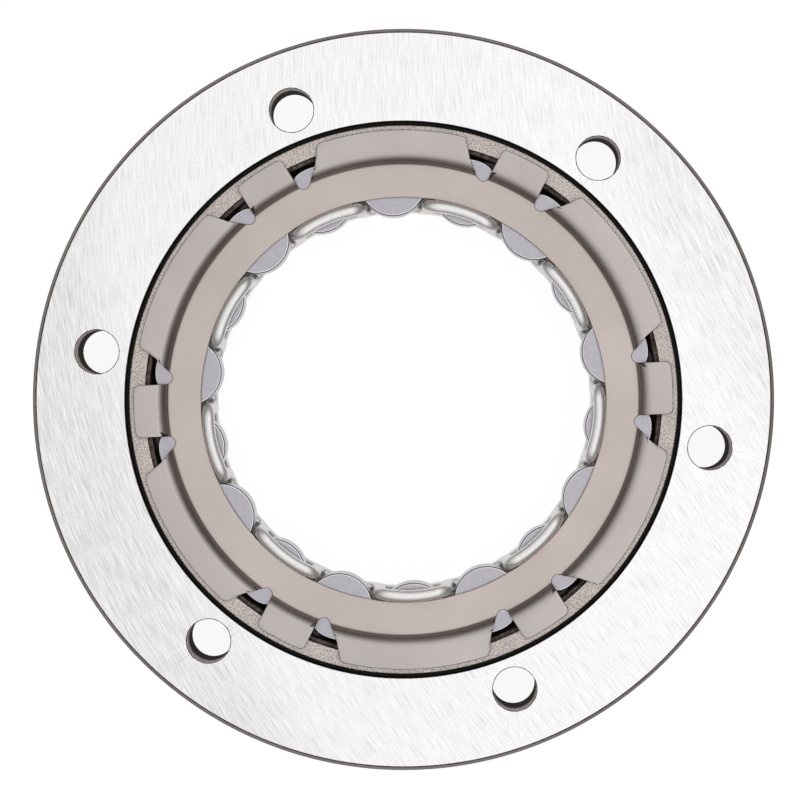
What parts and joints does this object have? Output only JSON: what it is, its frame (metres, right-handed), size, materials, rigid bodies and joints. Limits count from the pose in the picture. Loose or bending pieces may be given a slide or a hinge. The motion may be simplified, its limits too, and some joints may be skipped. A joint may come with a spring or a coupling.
{
  "type": "starter clutch",
  "caption": "One-way roller clutch for a starter drive: bolted flange ring, cam race, tabbed retainers, serpentine wire cage and spring-loaded rollers.",
  "frame": {"origin": "on the clutch's axis, in the plane of the flange's back face", "axes": "+Z along the axis, from the back face to the front face that carries the visible retainer; seen from the front, +X is right and +Y is up as in the picture"},
  "size_m": [0.11, 0.11, 0.016],
  "materials": {
    "flange_steel": "ground and brushed, bright",
    "race_steel": "hardened, matt and finely speckled",
    "retainer_steel": "pressed sheet, satin",
    "wire_steel": "drawn spring wire, satin",
    "roller_steel": "ground and polished"
  },
  "bodies": {
    "housing": {"outer_flange": "flange_steel", "cam_race": "race_steel", "front_retainer": "retainer_steel", "rear_retainer": "retainer_steel"},
    "cage": {"roller_cage": "wire_steel"},
    "roller_01": {"roller_01": "roller_steel"},
    "roller_02": {"roller_02": "roller_steel"},
    "roller_03": {"roller_03": "roller_steel"},
    "roller_04": {"roller_04": "roller_steel"},
    "roller_05": {"roller_05": "roller_steel"},
    "roller_06": {"roller_06": "roller_steel"},
    "roller_07": {"roller_07": "roller_steel"},
    "roller_08": {"roller_08": "roller_steel"},
    "roller_09": {"roller_09": "roller_steel"},
    "roller_10": {"roller_10": "roller_steel"},
    "roller_11": {"roller_11": "roller_steel"},
    "roller_12": {"roller_12": "roller_steel"},
    "roller_13": {"roller_13": "roller_steel"},
    "roller_14": {"roller_14": "roller_steel"},
    "roller_15": {"roller_15": "roller_steel"},
    "roller_16": {"roller_16": "roller_steel"},
    "roller_17": {"roller_17": "roller_steel"},
    "roller_18": {"roller_18": "roller_steel"}
  },
  "joints": [
    {"name": "cage_shift", "type": "hinge", "parent": "housing", "child": "cage", "pos_m": [0, 0, 0.0081], "axis": [0, 0, 1], "range_deg": [-2.5, 0], "stiffness_Nm_per_rad": 0.3, "springref_deg": 2.86},
    {"name": "roller_01_spin", "type": "hinge", "parent": "cage", "child": "roller_01", "pos_m": [0.03155, 0.00717, 0.0081], "axis": [0, 0, 1], "continuous": true},
    {"name": "roller_02_spin", "type": "hinge", "parent": "cage", "child": "roller_02", "pos_m": [0.02719, 0.01752, 0.0081], "axis": [0, 0, 1], "continuous": true},
    {"name": "roller_03_spin", "type": "hinge", "parent": "cage", "child": "roller_03", "pos_m": [0.01956, 0.02577, 0.0081], "axis": [0, 0, 1], "continuous": true},
    {"name": "roller_04_spin", "type": "hinge", "parent": "cage", "child": "roller_04", "pos_m": [0.00957, 0.0309, 0.0081], "axis": [0, 0, 1], "continuous": true},
    {"name": "roller_05_spin", "type": "hinge", "parent": "cage", "child": "roller_05", "pos_m": [-0.00158, 0.03231, 0.0081], "axis": [0, 0, 1], "continuous": true},
    {"name": "roller_06_spin", "type": "hinge", "parent": "cage", "child": "roller_06", "pos_m": [-0.01254, 0.02982, 0.0081], "axis": [0, 0, 1], "continuous": true},
    {"name": "roller_07_spin", "type": "hinge", "parent": "cage", "child": "roller_07", "pos_m": [-0.02198, 0.02374, 0.0081], "axis": [0, 0, 1], "continuous": true},
    {"name": "roller_08_spin", "type": "hinge", "parent": "cage", "child": "roller_08", "pos_m": [-0.02877, 0.01479, 0.0081], "axis": [0, 0, 1], "continuous": true},
    {"name": "roller_09_spin", "type": "hinge", "parent": "cage", "child": "roller_09", "pos_m": [-0.03209, 0.00405, 0.0081], "axis": [0, 0, 1], "continuous": true},
    {"name": "roller_10_spin", "type": "hinge", "parent": "cage", "child": "roller_10", "pos_m": [-0.03155, -0.00717, 0.0081], "axis": [0, 0, 1], "continuous": true},
    {"name": "roller_11_spin", "type": "hinge", "parent": "cage", "child": "roller_11", "pos_m": [-0.02719, -0.01752, 0.0081], "axis": [0, 0, 1], "continuous": true},
    {"name": "roller_12_spin", "type": "hinge", "parent": "cage", "child": "roller_12", "pos_m": [-0.01956, -0.02577, 0.0081], "axis": [0, 0, 1], "continuous": true},
    {"name": "roller_13_spin", "type": "hinge", "parent": "cage", "child": "roller_13", "pos_m": [-0.00957, -0.0309, 0.0081], "axis": [0, 0, 1], "continuous": true},
    {"name": "roller_14_spin", "type": "hinge", "parent": "cage", "child": "roller_14", "pos_m": [0.00158, -0.03231, 0.0081], "axis": [0, 0, 1], "continuous": true},
    {"name": "roller_15_spin", "type": "hinge", "parent": "cage", "child": "roller_15", "pos_m": [0.01254, -0.02982, 0.0081], "axis": [0, 0, 1], "continuous": true},
    {"name": "roller_16_spin", "type": "hinge", "parent": "cage", "child": "roller_16", "pos_m": [0.02198, -0.02374, 0.0081], "axis": [0, 0, 1], "continuous": true},
    {"name": "roller_17_spin", "type": "hinge", "parent": "cage", "child": "roller_17", "pos_m": [0.02877, -0.01479, 0.0081], "axis": [0, 0, 1], "continuous": true},
    {"name": "roller_18_spin", "type": "hinge", "parent": "cage", "child": "roller_18", "pos_m": [0.03209, -0.00405, 0.0081], "axis": [0, 0, 1], "continuous": true}
  ],
  "couplings": [
    {"joint": "roller_02_spin", "follows": "roller_01_spin", "ratio": 1},
    {"joint": "roller_03_spin", "follows": "roller_01_spin", "ratio": 1},
    {"joint": "roller_04_spin", "follows": "roller_01_spin", "ratio": 1},
    {"joint": "roller_05_spin", "follows": "roller_01_spin", "ratio": 1},
    {"joint": "roller_06_spin", "follows": "roller_01_spin", "ratio": 1},
    {"joint": "roller_07_spin", "follows": "roller_01_spin", "ratio": 1},
    {"joint": "roller_08_spin", "follows": "roller_01_spin", "ratio": 1},
    {"joint": "roller_09_spin", "follows": "roller_01_spin", "ratio": 1},
    {"joint": "roller_10_spin", "follows": "roller_01_spin", "ratio": 1},
    {"joint": "roller_11_spin", "follows": "roller_01_spin", "ratio": 1},
    {"joint": "roller_12_spin", "follows": "roller_01_spin", "ratio": 1},
    {"joint": "roller_13_spin", "follows": "roller_01_spin", "ratio": 1},
    {"joint": "roller_14_spin", "follows": "roller_01_spin", "ratio": 1},
    {"joint": "roller_15_spin", "follows": "roller_01_spin", "ratio": 1},
    {"joint": "roller_16_spin", "follows": "roller_01_spin", "ratio": 1},
    {"joint": "roller_17_spin", "follows": "roller_01_spin", "ratio": 1},
    {"joint": "roller_18_spin", "follows": "roller_01_spin", "ratio": 1}
  ]
}
